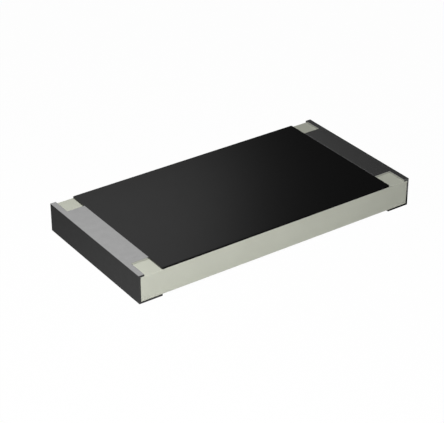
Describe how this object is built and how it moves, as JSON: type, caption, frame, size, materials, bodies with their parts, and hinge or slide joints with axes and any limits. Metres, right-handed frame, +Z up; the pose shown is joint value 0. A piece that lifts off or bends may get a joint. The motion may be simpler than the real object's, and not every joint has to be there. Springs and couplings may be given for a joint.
{
  "type": "chip resistor",
  "caption": "Flat rectangular thick film chip resistor: ceramic plate, black overcoat and tin-plated terminals that wrap round its ends for surface mounting.",
  "frame": {"origin": "under the middle of the chip, in the plane of its two solder pads", "axes": "+X along the chip from the left terminal to the right one, +Y across it, +Z up from the pads to the overcoat"},
  "size_m": [0.0064, 0.0032, 0.0006],
  "materials": {
    "alumina": "fine matte, as fired",
    "silver_print": "matte fired print",
    "resistive_print": "matte fired print",
    "fired_glass": "glossy",
    "black_resin": "smooth, half gloss",
    "end_paste": "matte cured paste",
    "nickel": "satin plating",
    "tin": "satin plating"
  },
  "bodies": {
    "root": {"ceramic_substrate": "alumina", "top_electrode_left": "silver_print", "top_electrode_right": "silver_print", "bottom_electrode_left": "silver_print", "bottom_electrode_right": "silver_print", "resistive_film": "resistive_print", "glass_coat": "fired_glass", "black_overcoat": "black_resin", "end_electrode_left": "end_paste", "end_electrode_right": "end_paste", "nickel_barrier_left": "nickel", "nickel_barrier_right": "nickel", "tin_plating_left": "tin", "tin_plating_right": "tin"}
  },
  "joints": []
}
